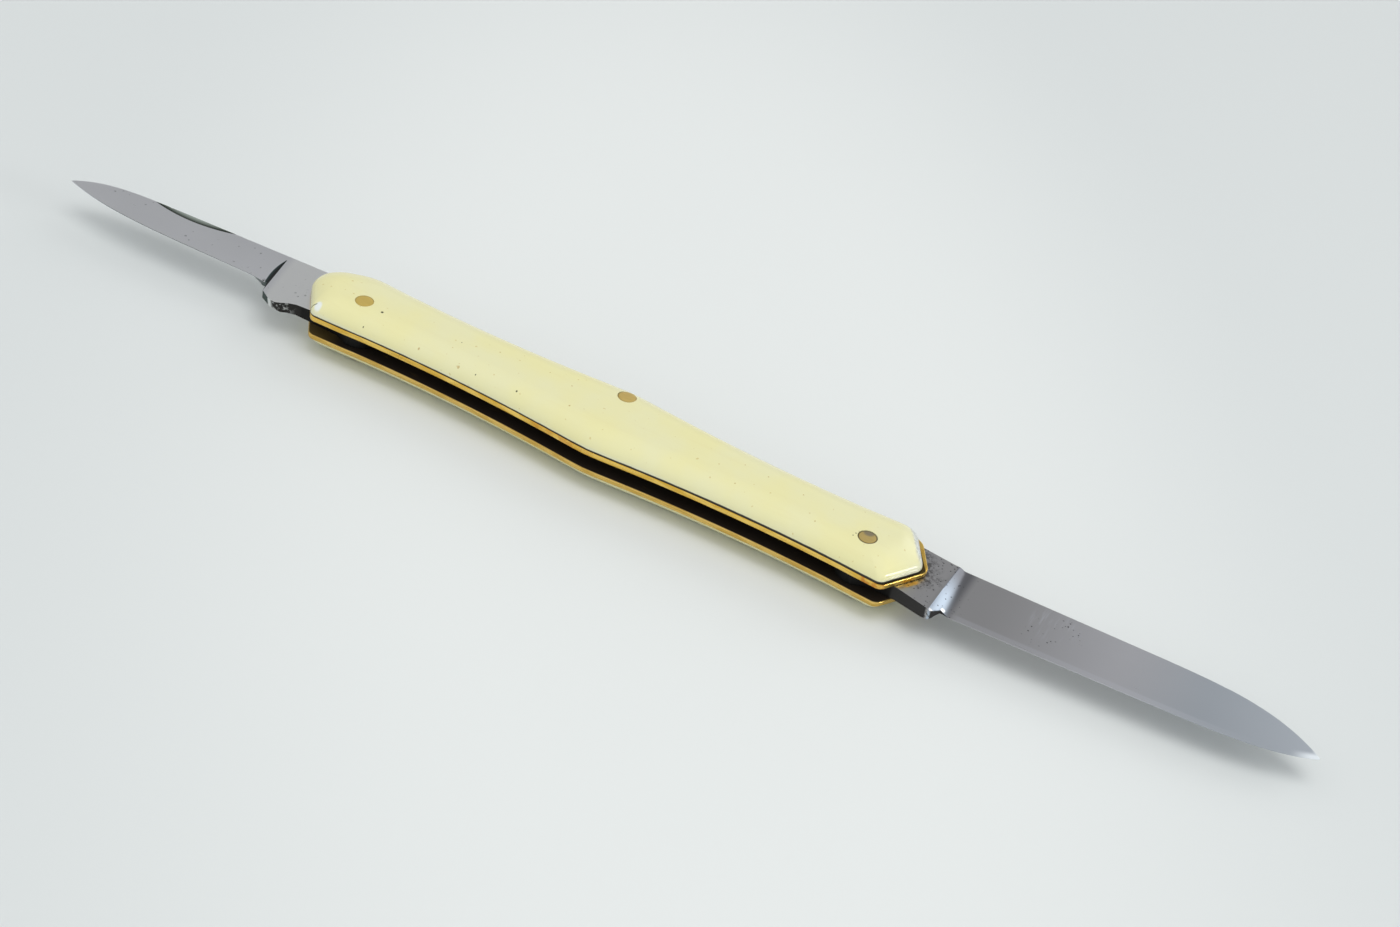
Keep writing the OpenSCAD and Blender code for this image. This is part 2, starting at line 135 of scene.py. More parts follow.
# Both blades: thickness of the edge, how slowly a blade thins towards its tip, and how hollow
# the pen blade's upper face is
EDGE_T, LEAST_WIDTH, THINNING, HOLLOW = 0.05, 0.02, 0.6, 1.5
# Points along the edge and spine, crowded towards the tip by TIP_CROWDING
BLADE_CUTS, TIP_CROWDING = 44, 1.6
# Rows closer than this are merged
ROW_GAP = 0.06
# Nail nicks: length and width of the crescent, the radius that gives them, and their places
NICK_LEN, NICK_W = 10.4, 0.85
NICK_R = NICK_LEN ** 2 / (8 * NICK_W) + NICK_W / 2
MAIN_NICK_U, MAIN_NICK_DEPTH = 25.0, 0.2
PEN_NICK_U, PEN_NICK_DEPTH = 24.0, 0.18
NICK_OVERRUN, NICK_CLEAR = 0.005, 20.0


# ---------------------------------------------------------------- modelling helpers
def clamp(value, low=0.0, high=1.0):
    return max(low, min(high, value))


def half_width(x):
    """Half width of the handle at x, with its sunk flanks and soft middle."""
    s = clamp((math.hypot(x, PEAK_SOFTNESS) - PEAK_SOFTNESS / 2) / FLANK_LEN)
    return HALF_W_MID + (HALF_W_END - HALF_W_MID) * s - FLANK_SINK * 4 * s * (1 - s)


def moved_corner(before, corner, after, inset_before, inset_after):
    """A corner of an outline after the sides before and after it move inwards."""
    a = (corner - before).normalized()
    b = (after - corner).normalized()
    return corner + (b * inset_before - a * inset_after) / (a.x * b.y - a.y * b.x)


def round_corner(bm, vert, radius, steps=CORNER_STEPS):
    """Rounds a corner of a flat face."""
    a, b = [(e.other_vert(vert).co - vert.co).normalized() for e in vert.link_edges]
    tangent = radius / math.tan(a.angle(b) / 2)
    bmesh.ops.bevel(bm, geom=[vert], affect="VERTICES", offset=tangent, offset_type="ABSOLUTE",
                    segments=steps, profile=0.5, material=-1, clamp_overlap=False)


def closed_wire(bm, points, z=0.0):
    """Corner points joined by edges, returned as vertices."""
    verts = [bm.verts.new((x, y, z)) for x, y in points]
    for first, second in zip(verts, verts[1:] + verts[:1]):
        bm.edges.new((first, second))
    return verts


def split_sides(bm, sides, cuts):
    """Cuts straight sides of a wire outline evenly: returns the new vertices of each side, each
    with its share of the way from the side's first end."""
    ends = [(first.co.copy(), second.co.copy()) for first, second in sides]
    bmesh.ops.subdivide_edges(bm, edges=[bm.edges.get(side) for side in sides], cuts=cuts)
    found = []
    for first, second in ends:
        way = second - first
        shares = [(v, (v.co - first).dot(way) / way.length_squared) for v in bm.verts]
        found.append([(v, t) for v, t in shares
                      if 1e-3 < t < 0.999 and (v.co - first - way * t).length < SAME])
    return found


def vert_at(bm, x, y, z=0.0):
    """Vertex nearest to a place."""
    return min(bm.verts, key=lambda v: (v.co - Vector((x, y, z))).length_squared)


def fill_wire(bm):
    """Puts a face inside the outline that is still a wire."""
    bmesh.ops.contextual_create(bm, geom=[e for e in bm.edges if e.is_wire])


def handle_outline(bm, z, insets=(0.0,) * 5, rise=0.0, cuts=(0.0, 0.0),
                   flank_cuts=SCALE_FLANK_CUTS):
    """Adds a face with the handle's outline, moved inwards by the insets of its sides: rise is 0
    at a scale's rim and 1 at its flat."""
    flank = [(-FLANK_LEN, -HALF_W_END), (0, -HALF_W_MID), (FLANK_LEN, -HALF_W_END)]
    main_end = [(x - cuts[0], y) for x, y, _, _ in MAIN_END]
    pen_end = [(x + cuts[1], y) for x, y, _, _ in PEN_END]
    points = [Vector(p) for p in flank + main_end + [(-x, -y) for x, y in flank] + pen_end]
    count = len(points)
    side_insets = [insets[END_SIDES.get(i, 0)] for i in range(count)]
    corners = [moved_corner(points[i - 1], points[i], points[(i + 1) % count],
                            side_insets[i - 1], side_insets[i]) for i in range(count)]
    verts = closed_wire(bm, corners, z)
    for side in split_sides(bm, [(verts[i], verts[i + 1]) for i in (0, 1, 6, 7)], flank_cuts):
        for v, _ in side:
            v.co.y = math.copysign(half_width(v.co.x) - insets[0], v.co.y)
    for way in (-1, 1):
        peak = vert_at(bm, 0, way * (HALF_W_MID - insets[0]), z)
        peak.co.y = way * (half_width(0) - insets[0])
    fill_wire(bm)
    for places, end in ((corners[2:7], MAIN_END), (corners[8:] + corners[:1], PEN_END)):
        radii = [rim_r + (flat_r - rim_r) * rise for _, _, rim_r, flat_r in end]
        sides = [places[i + 1] - places[i] for i in range(len(end) + 1)]
        tangents = [radius / math.tan((-before).angle(after) / 2)
                    for radius, before, after in zip(radii, sides, sides[1:])]
        fits = [CORNER_ROOM * side.length / sum(tangents[max(0, i - 1):i + 1])
                for i, side in enumerate(sides)]
        for i, radius in enumerate(radii):
            share = min(1.0, fits[i], fits[i + 1])
            round_corner(bm, vert_at(bm, *places[i + 1], z), radius * share)


def bridge_levels(bm, levels):
    """Joins flat rings at the given heights into one closed solid."""
    def at(items, z):
        return [i for i in items if all(abs(v.co.z - z) < SAME for v in i.verts)]

    inner = [f for z in levels[1:-1] for f in at(bm.faces, z)]
    bmesh.ops.delete(bm, geom=inner, context="FACES_ONLY")
    for low, high in zip(levels, levels[1:]):
        bmesh.ops.bridge_loops(bm, edges=at(bm.edges, low) + at(bm.edges, high))


def soften(bm, edges, width, segments=2):
    """Rounds edges over the given width."""
    bmesh.ops.bevel(bm, geom=edges, affect="EDGES", offset=width, offset_type="OFFSET",
                    segments=segments, profile=0.5, material=-1, clamp_overlap=False)


def level_edges(bm):
    """Edges that lie flat: the rims of a plate."""
    return [e for e in bm.edges if abs(e.verts[0].co.z - e.verts[1].co.z) < SAME]


def thicken(bm, height):
    """Extrudes every face upwards by height and returns the raised vertices."""
    bmesh.ops.recalc_face_normals(bm, faces=bm.faces)
    raised = bmesh.ops.extrude_face_region(bm, geom=bm.faces[:])["geom"]
    verts = [g for g in raised if isinstance(g, bmesh.types.BMVert)]
    bmesh.ops.translate(bm, verts=verts, vec=(0, 0, height))
    return verts


def as_object(name, bm):
    """New object in the scene from a mesh in the making, which ends there."""
    mesh = bpy.data.meshes.new(name)
    bm.to_mesh(mesh)
    bm.free()
    obj = bpy.data.objects.new(name, mesh)
    bpy.context.scene.collection.objects.link(obj)
    return obj


def cut_away(bm, cutter):
    """bm with the cutter's volume taken out of it."""
    bmesh.ops.recalc_face_normals(bm, faces=bm.faces)
    blank, tool = as_object("blank", bm), as_object("cutter", cutter)
    boolean = blank.modifiers.new("cut", "BOOLEAN")
    boolean.operation, boolean.solver, boolean.object = "DIFFERENCE", "EXACT", tool
    result = bpy.data.meshes.new_from_object(
        blank.evaluated_get(bpy.context.evaluated_depsgraph_get()))
    out = bmesh.new()
    out.from_mesh(result)
    for obj in (blank, tool):
        bpy.data.objects.remove(obj)
    bpy.data.meshes.remove(result)
    return out


def rods(holes, low=-3.0, high=10.0, steps=64):
    """Upright cylinders for boring: holes are x, y and radius."""
    bm = bmesh.new()
    for x, y, radius in holes:
        bmesh.ops.create_cone(bm, cap_ends=True, segments=steps, radius1=radius, radius2=radius,
                              depth=high - low,
                              matrix=Matrix.Translation((x, y, (low + high) / 2)))
    return bm


def rivet_holes(pen_r, spring_r, main_r, spring_shift=0.0):
    """Bores for the three rivets, as x, y and radius."""
    return [(-PIVOT_X, PIVOT_Y, pen_r), (spring_shift, SPRING_PIN_Y, spring_r),
            (PIVOT_X, PIVOT_Y, main_r)]


def finished(name, bm, body, material):
    """Turns the mesh into the piece that stands for the CAD node of the same name."""
    bmesh.ops.remove_doubles(bm, verts=bm.verts, dist=SAME)
    bmesh.ops.dissolve_degenerate(bm, edges=bm.edges, dist=SAME)
    bmesh.ops.recalc_face_normals(bm, faces=bm.faces)
    for face in bm.faces:
        face.smooth = True
    bmesh.ops.scale(bm, vec=(MM, MM, MM), verts=bm.verts)
    piece = as_object(name + "_shown", bm)
    piece.data.set_sharp_from_angle(angle=math.radians(SHARP_ANGLE))
    piece.data.materials.append(material)
    weighted = piece.modifiers.new("flat_faces", "WEIGHTED_NORMAL")
    weighted.keep_sharp = True
    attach(piece, body)
    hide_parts(name)


# ---------------------------------------------------------------- handle pieces
def scale_piece(name, base_z, direction, insets, widths, holes, material):
    """Rounded scale that rises from its liner, or hangs from it where direction is -1."""
    bm = bmesh.new()
    levels = [base_z]
    handle_outline(bm, base_z, insets, 0.0, SCALE_CUTS)
    for k in range(ROUND_STEPS + 1):
        angle = math.pi / 2 * k / ROUND_STEPS
        rise = 1 - math.cos(angle)
        height = SCALE_WALL + (SCALE_T - SCALE_WALL) * math.sin(angle)
        levels.append(base_z + direction * height)
        moved = [inset + width * rise for inset, width in zip(insets, widths)]
        handle_outline(bm, levels[-1], moved, rise, SCALE_CUTS)
    bridge_levels(bm, levels)
    bm = cut_away(bm, rods(holes))
    finished(name, bm, "handle", material)


def liner_piece(name, z, material):
    bm = bmesh.new()
    handle_outline(bm, z, flank_cuts=LINER_FLANK_CUTS)
    thicken(bm, LINER_T)
    soften(bm, level_edges(bm), LINER_EDGE_ROUND, segments=3)
    bm = cut_away(bm, rods(rivet_holes(LINER_BORE_R, LINER_BORE_R, LINER_BORE_R)))
    finished(name, bm, "handle", material)


def spring_back_y(x):
    """Back of the handle where the spring follows it, out to the spring's ends."""
    if x > 0:
        return half_width(x) + SPRING_RISE * max(0.0, x - FLANK_LEN) / SPRING_RISE_LEN
    curve = max(0.0, -x - SPRING_CURVE_X)
    return half_width(x) - (SPRING_CURVE_R - math.sqrt(SPRING_CURVE_R ** 2 - curve ** 2))


def spring_piece(material):
    bm = bmesh.new()
    points = [(SPRING_END_X, spring_back_y(SPRING_END_X))] + SPRING_INNER
    points += [(-x, y) for x, y in reversed(SPRING_INNER)]
    points.append((-SPRING_END_X, spring_back_y(-SPRING_END_X)))
    verts = closed_wire(bm, points, WELL_Z)
    for v, _ in split_sides(bm, [(verts[0], verts[-1])], SPRING_CUTS)[0]:
        v.co.y = spring_back_y(v.co.x)
    fill_wire(bm)
    for x, y in SPRING_INNER[2:4]:
        for way in (-1, 1):
            round_corner(bm, vert_at(bm, way * x, y, WELL_Z), SPRING_CORNER_R, steps=5)
    thicken(bm, WELL_W)
    soften(bm, level_edges(bm), STEEL_EDGE_ROUND)
    bm = cut_away(bm, rods([(0, SPRING_PIN_Y, LINER_BORE_R)]))
    finished("back_spring", bm, "handle", material)


def scale_height(x, y, inset, width):
    """Height of a scale's rounded face above its liner."""
    depth = clamp((half_width(x) - inset - abs(y)) / width)
    return SCALE_WALL + (SCALE_T - SCALE_WALL) * math.sqrt(1 - (1 - depth) ** 2)


def rivet_piece(name, x, y, front_sink, material):
    """Rivet whose heads follow the rounded scales, the front one sunk by front_sink."""
    bm = bmesh.new()
    bmesh.ops.create_cone(bm, cap_ends=True, segments=64, radius1=PIN_R, radius2=PIN_R,
                          depth=HANDLE_T, matrix=Matrix.Translation((x, y, HANDLE_T / 2)))
    heads = [f for f in bm.faces if len(f.verts) == 64]
    for width in HEAD_RINGS:
        bmesh.ops.inset_individual(bm, faces=heads, thickness=width, depth=0.0)
    front, back = (FRONT_INSETS[0], FRONT_ROUND[0]), (BACK_INSETS[0], BACK_ROUND[0])
    reach = 0.1
    slope = (scale_height(x, y + reach, *front) - scale_height(x, y - reach, *front)) / (2 * reach)
    for v in bm.verts:
        gap = PIN_R - math.hypot(v.co.x - x, v.co.y - y)
        wear = HEAD_WEAR * clamp(1 - gap / HEAD_WEAR_WIDTH) ** 2
        if v.co.z > MID_Z:
            flat = min(SCALE_T, scale_height(x, y, *front) + slope * (v.co.y - y))
            height = HEAD_ROUND * scale_height(v.co.x, v.co.y, *front) + (1 - HEAD_ROUND) * flat
            v.co.z = FRONT_SCALE_Z + height - front_sink - wear
        else:
            v.co.z = SCALE_T - scale_height(v.co.x, v.co.y, *back) + wear
    finished(name, bm, "handle", material)


# ---------------------------------------------------------------- blades
def turned(u, v, degrees):
    """A point turned about the pivot, as numbers or as levels of a material."""
    c, s = math.cos(math.radians(degrees)), math.sin(math.radians(degrees))
    return u * c - v * s, u * s + v * c


def bend(u, base, slope, start_u, bend_u, power, len_u, tip_v, larger=max):
    """Height of a blade's spine or edge at a distance u from its pivot."""
    s = larger((u - bend_u) / (len_u - bend_u), 0.0)
    end_v = base + slope * (len_u - start_u)
    return base + slope * (u - start_u) + (tip_v - end_v) * s ** power


def main_spine(u):
    return bend(u, MAIN_SPINE, slope=0.005, start_u=MAIN_TANG, bend_u=26, power=4,
                len_u=MAIN_LEN, tip_v=MAIN_TIP)


def main_edge(u, larger=max):
    return bend(u, MAIN_EDGE, slope=0.012, start_u=MAIN_TANG, bend_u=20, power=6,
                len_u=MAIN_LEN, tip_v=MAIN_TIP, larger=larger)


def main_heights(u, v):
    """Lower and upper face of the main blade at a point of its open outline."""
    cu, cv = turned(u, v, -MAIN_CANT)
    g = 1 - (1 - clamp((u - PLUNGE_U) / (PLUNGE_LEN - PLUNGE_LEAN * v))) ** PLUNGE_CURVE
    run = max(0.0, cu - MAIN_TAPER_U)
    mean = -MAIN_MEAN_TAPER * run
    high = HALF_TANG - PLUNGE_STEP * g - MAIN_TOP_TAPER * run
    low = -HALF_TANG + MAIN_LOW_TAPER * run
    spine, edge = main_spine(cu), main_edge(cu)
    width = max(LEAST_WIDTH, spine - edge)
    w = clamp((cv - edge) / width)
    share = min(1.0, width / MAIN_FULL_W) ** THINNING
    half_edge = EDGE_T / 2
    top = mean + half_edge + ((high - mean) * share - half_edge) * w
    bottom = mean - half_edge - ((mean - low) * share - half_edge) * w
    return -HALF_TANG * (1 - g) + bottom * g, HALF_TANG * (1 - g) + top * g


def pen_spine(u):
    return bend(u, PEN_SPINE, slope=-0.02, start_u=PEN_TANG, bend_u=14, power=8,
                len_u=PEN_LEN, tip_v=PEN_TIP)


def pen_edge(u):
    heel = clamp((PEN_HEEL_U - u) / PEN_HEEL_LEN)
    return bend(u, PEN_EDGE, slope=0, start_u=PEN_TANG, bend_u=20, power=3.35,
                len_u=PEN_LEN, tip_v=PEN_TIP) - PEN_HEEL_DROP * heel ** 2


def pen_low(u):
    """Lower face of the pen blade's tang, which rises as it leaves the handle."""
    s = clamp((u - PEN_RISE_U) / PEN_RISE_LEN)
    return (-HALF_TANG + (HALF_TANG - PEN_TANG_LOW) * s
            + PEN_LOW_TAPER * max(0.0, u - PEN_TAPER_U))


def pen_past(u, v):
    """Distance past the pen blade's plunge line."""
    return turned(u, v, -PEN_LEAN)[0] - PEN_LINE


def leaf_width(t):
    """Width of the pen blade's leaf-shaped plunge at a share t of its height."""
    return LEAF_LEAST + LEAF_FOOT * (1 - t) + LEAF_BULGE * t * (1 - t)


def pen_heights(u, v):
    """Lower and upper face of the pen blade at a point of its open outline."""
    cu, cv = turned(u, v, PEN_CANT)
    spine, edge = pen_spine(cu), pen_edge(cu)
    width = max(LEAST_WIDTH, spine - edge)
    w = clamp((cv - edge) / width)
    share = min(1.0, width / (PEN_SPINE - PEN_EDGE)) ** THINNING
    low = HALF_TANG - (HALF_TANG - pen_low(cu)) * share
    mean = (HALF_TANG + low) / 2
    half_edge = EDGE_T / 2
    hollow = 1 - (1 - w) ** HOLLOW
    top = min(HALF_TANG, mean + half_edge + (HALF_TANG - mean - half_edge) * hollow)
    bottom = mean - half_edge - (mean - low - half_edge) * w
    past = pen_past(u, v)
    g = clamp(past / leaf_width(clamp((v - PEN_LEAF_V) / PEN_LEAF)))
    g_low = clamp((past - PEN_UNDER_PLUNGE) / PEN_UNDER_PLUNGE)
    return pen_low(u) * (1 - g_low) + bottom * g_low, HALF_TANG * (1 - g) + top * g


def blade_piece(name, side, front, tip, back, kick, curves, cant, heights, rows, nick, material):
    """Blade cut from a flat outline and thickened to its heights.

    The outline runs counter-clockwise in u and v: front ends where the edge starts, tip has three
    points, and back starts where the spine ends and finishes with the tang's two round corners.
    curves are the edge's and the spine's, and kick is where the lower face's kick is worn short:
    from which u, and to which v."""
    bm = bmesh.new()
    points, tip_at = front + tip + back, len(front)
    verts = closed_wire(bm, points)
    edge, spine = curves
    sides = [(tip_at - 1, tip_at, edge), (tip_at + 3, tip_at + 2, spine)]
    split = split_sides(bm, [(verts[near], verts[far]) for near, far, _ in sides], BLADE_CUTS)
    for (near, far, curve), side_verts in zip(sides, split):
        start_u, end_u = (turned(*points[i], -cant)[0] for i in (near, far))
        for v, share in side_verts:
            u = start_u + (end_u - start_u) * (1 - (1 - share) ** TIP_CROWDING)
            v.co.x, v.co.y = turned(u, curve(u), cant)
    fill_wire(bm)
    for corner in back[-2:]:
        round_corner(bm, vert_at(bm, *corner), TANG_R, steps=10)
    for place, normal in rows:
        bmesh.ops.bisect_plane(bm, geom=bm.verts[:] + bm.edges[:] + bm.faces[:], dist=SAME,
                               plane_co=place, plane_no=normal)
    bmesh.ops.remove_doubles(bm, verts=bm.verts, dist=ROW_GAP)
    raised = set(thicken(bm, 1))
    for v in bm.verts:
        v.co.z = heights(v.co.x, v.co.y)[1 if v in raised else 0]
    kick_u, kick_v = kick
    for v in bm.verts:
        if v not in raised and v.co.x > kick_u:
            v.co.y = max(v.co.y, kick_v)
    bmesh.ops.recalc_face_normals(bm, faces=bm.faces)

    def thick(v):
        low, high = heights(v.co.x, v.co.y)
        return high - low > 0.5

    # rims of the thick part: sharp edges that lie about level
    rims = [e for e in bm.edges if e.is_manifold and e.calc_face_angle() > 1.0
            and all(thick(v) for v in e.verts)
            and abs(e.verts[0].co.z - e.verts[1].co.z) < 0.3 * e.calc_length()]
    soften(bm, rims, STEEL_EDGE_ROUND)
    for cutter in (rods([(0, 0, BLADE_BORE_R)]), nick):
        bm = cut_away(bm, cutter)
    bmesh.ops.scale(bm, vec=(side, 1, 1), verts=bm.verts)
    bmesh.ops.translate(bm, vec=(side * PIVOT_X, PIVOT_Y, MID_Z), verts=bm.verts)
    finished(name, bm, name, material)


def blunt_tip(length, tip_v, edge, spine, cut, cant):
    """The three points of a tip that is cut off by a small length."""
    return [turned(length - cut, edge(length - cut), cant), turned(length - 0.08, tip_v, cant),
            turned(length - cut, spine(length - cut), cant)]


def rows_across(start, step, count, degrees=0.0):
    """Evenly spaced planes across a blade, the first at start from its pivot."""
    normal = turned(1, 0, degrees)
    return [((*turned(start + step * k, 0, degrees), 0), (*normal, 0)) for k in range(count)]


def rows_at(heights):
    """Planes along a blade at the given heights."""
    return [((0, v, 0), (0, 1, 0)) for v in heights]


def tang_back(spine_v):
    """Back of the tang, from the spine's start at spine_v round to the front."""
    return [(TANG_STEP_U, spine_v), (TANG_STEP_U, TANG_R), (-TANG_R, TANG_R), (-TANG_R, -TANG_R)]


def nick_cutter(u, spine_v, cant, outer_z, deep_z, spine_z):
    """Shallow crescent, deepest along its lower edge and running out at the spine."""
    x, y = turned(u, spine_v + NICK_R - NICK_W, cant)
    bm = rods([(x, y, NICK_R)], min(outer_z, deep_z), max(outer_z, deep_z), steps=256)
    for v in bm.verts:
        if abs(v.co.z - deep_z) < SAME:
            up = turned(v.co.x, v.co.y, -cant)[1] - spine_v + NICK_W
            v.co.z = deep_z + (spine_z - deep_z) * up / NICK_W
    return bm


def main_blade_piece(material):
    cant = MAIN_CANT
    # lower side of the tang, the point of its kick, the notch and the start of the edge
    front = [(0.2, -2.45), (1.76, -1.72), (4.58, -1.7), (7.63, -2.4),
             turned(MAIN_TANG, -3.121, cant), turned(9.05, -1.8, cant),
             turned(10.0, main_edge(10.0), cant)]
    tip = blunt_tip(MAIN_LEN, 0.64, main_edge, main_spine, 0.2, cant)
    back = [turned(MAIN_TANG, MAIN_SPINE, cant)] + tang_back(5.7)
    rows = (rows_across(PLUNGE_U, 0.13, 18) + rows_across(10.5, 1.0, 35, cant)
            + rows_at((-1.6, -0.5, 0.5, 1.5, 2.5, 3.5, 4.5)))
    under = -HALF_TANG + MAIN_LOW_TAPER * (MAIN_NICK_U - MAIN_TAPER_U)
    nick = nick_cutter(MAIN_NICK_U, main_spine(MAIN_NICK_U), cant, -NICK_CLEAR,
                       under + MAIN_NICK_DEPTH, under - NICK_OVERRUN)
    blade_piece("main_blade", 1, front, tip, back, (7, -2.25), (main_edge, main_spine), cant,
                main_heights, rows, nick, material)


def pen_blade_piece(material):
    cant = -PEN_CANT
    # lower side of the tang, its rounded kick, the notch and the start of the edge
    front = [(0.2, -2.45), (1.76, -1.74), (5.4, -1.75), (6.8, -1.9), (7.6, -2.25), (8.2, -2.7),
             (8.7, -3.0), (9.5, -2.95), (10.82, -2.1), turned(11.5, pen_edge(11.5), cant)]
    tip = blunt_tip(PEN_LEN, PEN_TIP, pen_edge, pen_spine, 0.15, cant)
    start_u = PEN_TANG + 0.3
    back = [turned(start_u, pen_spine(start_u), cant)] + tang_back(5.35)
    rows = (rows_across(PEN_LINE, 0.07, 14, PEN_LEAN) + rows_across(13.5, 0.9, 27, cant)
            + rows_at((-1.6, -1.0, -0.4, 0.2, 0.8, 1.4, 2.0, 2.6, 3.2, 3.68, 4.4)))
    nick = nick_cutter(PEN_NICK_U, pen_spine(PEN_NICK_U), cant, NICK_CLEAR,
                       HALF_TANG - PEN_NICK_DEPTH, HALF_TANG + NICK_OVERRUN)
    blade_piece("pen_blade", -1, front, tip, back, (8, -2.7), (pen_edge, pen_spine), cant,
                pen_heights, rows, nick, material)


# ---------------------------------------------------------------- shader helpers
def linear(rgb):
    """Shader colour for a colour given as it looks, 0 to 255."""
    shares = [c / 255 for c in rgb]
    return tuple(c / 12.92 if c <= 0.04045 else ((c + 0.055) / 1.055) ** 2.4
                 for c in shares) + (1.0,)


class Level:
    """A number that changes over a surface: arithmetic on it adds Math nodes."""

    def __init__(self, finish, socket):
        self.finish, self.socket = finish, socket

    def math(self, operation, *values):
        return self.finish.add("ShaderNodeMath", {"operation": operation}, *values)

    def __add__(self, other): return self.math("ADD", self, other)
    __radd__ = __add__
    def __sub__(self, other): return self.math("SUBTRACT", self, other)
    def __rsub__(self, other): return self.math("SUBTRACT", other, self)
    def __mul__(self, other): return self.math("MULTIPLY", self, other)
    __rmul__ = __mul__
    def __truediv__(self, other): return self.math("DIVIDE", self, other)
    def __pow__(self, other): return self.math("POWER", self, other)
    def __abs__(self): return self.math("ABSOLUTE", self)


class Finish:
    """A material, or the world, being built from nodes."""

    def __init__(self, owner):
        owner.use_nodes = True
        self.tree = owner.node_tree
        self.tree.nodes.clear()

    def add(self, kind, settings=None, *values, out=0, **named):
        """Adds a node: its settings first, then values or links for its sockets."""
        node = self.tree.nodes.new(kind)
        for key, value in (settings or {}).items():
            setattr(node, key, value)
        sockets = list(enumerate(values)) + [(k.replace("_", " "), v) for k, v in named.items()]
        for key, value in sockets:
            if value is None:
                continue
            if isinstance(value, Level):
                self.tree.links.new(value.socket, node.inputs[key])
            else:
                node.inputs[key].default_value = value
        return Level(self, node.outputs[out]) if node.outputs else None

    def mix(self, share, first, second):
        """Colour between two colours."""
        values = [share, None, None, None, None, None, first, second]
        return self.add("ShaderNodeMix", {"data_type": "RGBA"}, *values, out=2)

    def between(self, share, first, second):
        """Colour between two tones."""
        return self.mix(share, linear(first), linear(second))

    def paint(self, colour, mask, tone):
        """Colour with a tone laid over it where the mask is 1."""
        return self.mix(mask, colour, linear(tone))

    def rise(self, value, low, high):
        """0 below low, 1 above high and smooth between."""
        return self.add("ShaderNodeMapRange", {"interpolation_type": "SMOOTHSTEP"},
                        value, low, high, 0.0, 1.0)

    def fall(self, value, low, high):
        """1 below low, 0 above high and smooth between."""
        return 1 - self.rise(value, low, high)

    def larger(self, *values):
        return self.add("ShaderNodeMath", {"operation": "MAXIMUM"}, *values)

    def place(self):
        """Place on the piece in millimetres, as a vector and as x, y and z."""
        at = self.add("ShaderNodeTexCoord", out="Object")
        at = self.add("ShaderNodeVectorMath", {"operation": "SCALE"}, at, Scale=1 / MM)
        self.plan = self.add("ShaderNodeVectorMath", {"operation": "MULTIPLY"}, at,
                             (1.0, 1.0, 0.0))
        return (at, *(self.add("ShaderNodeSeparateXYZ", None, at, out=k) for k in range(3)))

    def stretched(self, at, scale, degrees=0.0):
        """Place turned about Z and scaled, for patterns that run one way."""
        return self.add("ShaderNodeMapping", None, at, Rotation=(0, 0, math.radians(degrees)),
                        Scale=scale)

    def noise(self, at, scale, detail=2.0, roughness=0.5):
        return self.add("ShaderNodeTexNoise", None, Vector=at, Scale=scale, Detail=detail,
                        Roughness=roughness)

    def facing_up(self):
        """1 on faces that look up or down and 0 on walls."""
        normal = self.add("ShaderNodeTexCoord", out="Normal")
        upright = self.add("ShaderNodeSeparateXYZ", None, normal, out=2)
        return self.rise(abs(upright), 0.35, 0.6)

    def distance(self, x0, y0):
        """Distance from an upright line at x0, y0."""
        return self.add("ShaderNodeVectorMath", {"operation": "DISTANCE"}, self.plan,
                        (x0, y0, 0.0), out=1)

    def spot(self, x0, y0, radius):
        """1 near x0, y0 and 0 past the radius."""
        return self.fall(self.distance(x0, y0), radius * 0.5, radius)

    def pits(self, at, cell, low, high):
        """Small uneven pits, cell mm apart: fewer where low is larger."""
        cells = self.add("ShaderNodeTexVoronoi", None, Vector=at, Scale=1 / cell, Randomness=1.0)
        spread = self.rise(self.noise(at, 1.3, 2.0), low, high)
        rough = self.noise(at, 9.0, 2.0) * 0.1
        return self.fall(cells + rough, 0.16, 0.27) * spread

    def bump(self, strength, height_mm, height):
        return self.add("ShaderNodeBump", None, Strength=strength, Distance=height_mm * MM,
                        Height=height)

    def shader(self, **named):
        return self.add("ShaderNodeBsdfPrincipled", None, **named)

    def output(self, surface, kind="ShaderNodeOutputMaterial"):
        self.add(kind, None, surface)


def new_material(name):
    material = bpy.data.materials.new(name)
    return material, Finish(material)


def past_line(line, x, y):
    """Distance past a line, given by a point on it and its outward direction."""
    x0, y0, nx, ny = line
    return (x - x0) * nx + (y - y0) * ny


# Lines along the two chamfers of the main end, the back one as its worn band runs
FRONT_CHAMFER, BACK_CHAMFER = (32.1, -4.56, 0.8655, -0.501), (35.0, 0.45, 0.8355, 0.5496)

# ---------------------------------------------------------------- cream scales and brass
CREAM, YELLOW_CREAM = (229, 226, 180), (231, 226, 170)
FIBRE, FLECK = (214, 190, 120), (196, 168, 92)
# The pale foot tone is a painted sheen
PALE_FOOT_SHEEN, WORN_END, SCUFF = (214, 221, 216), (216, 221, 226), (96, 96, 96)
# The chip tone is a painted highlight on a chip; the seam tone is grime and painted shade
CHIP_HIGHLIGHT, CRACK, SEAM_GRIME_SHADE = (234, 240, 242), (66, 76, 70), (34, 30, 20)
BROWN_SPECK, DARK_SPECK = (176, 140, 62), (52, 54, 34)
